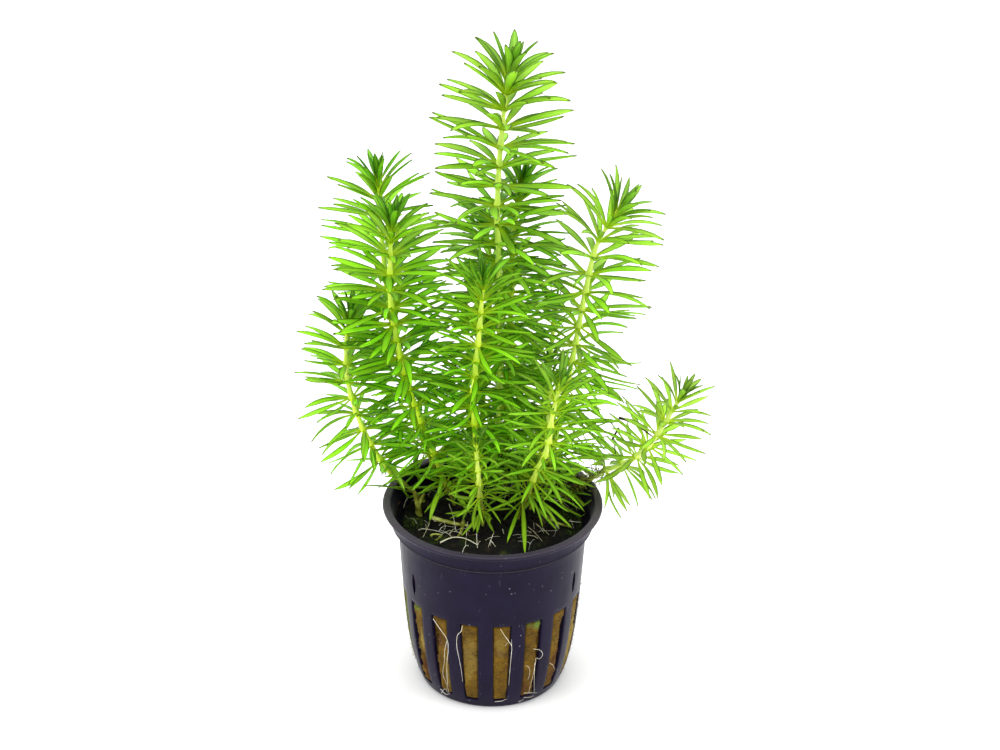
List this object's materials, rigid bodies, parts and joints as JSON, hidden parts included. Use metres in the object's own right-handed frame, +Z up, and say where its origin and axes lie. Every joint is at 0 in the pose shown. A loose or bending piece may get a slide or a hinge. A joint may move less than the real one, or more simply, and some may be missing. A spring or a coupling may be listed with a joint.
{
  "type": "potted aquarium plant, pogostemon erectus",
  "caption": "Upright aquarium stem plant with whorls of narrow leaves, planted in rock wool in a small slotted net pot.",
  "frame": {"origin": "middle of the pot's flat underside", "axes": "+Z up along the pot's axis, front of the plant towards -Y, right of the plant towards +X"},
  "size_m": [0.0972, 0.0577, 0.1615],
  "materials": {
    "pot_plastic": "satin",
    "rock_wool": "matte",
    "foliage": "satin",
    "old_stem": "matte"
  },
  "bodies": {
    "root": {"pot": "pot_plastic", "rockwool_plug": "rock_wool", "shoot_tall_centre": "foliage", "shoot_tall_left": "foliage", "shoot_tall_right": "foliage", "shoot_middle_front": "foliage", "shoot_low_right_front": "foliage", "shoot_leaning_right": "foliage", "shoot_low_left": "foliage", "shoot_tall_back_left": "foliage", "shoot_short_front": "foliage", "shoot_behind_centre": "foliage", "shoot_behind_left": "foliage", "shoot_behind_right": "foliage", "shoot_short_right": "foliage", "old_stem_stub": "old_stem"}
  },
  "joints": []
}
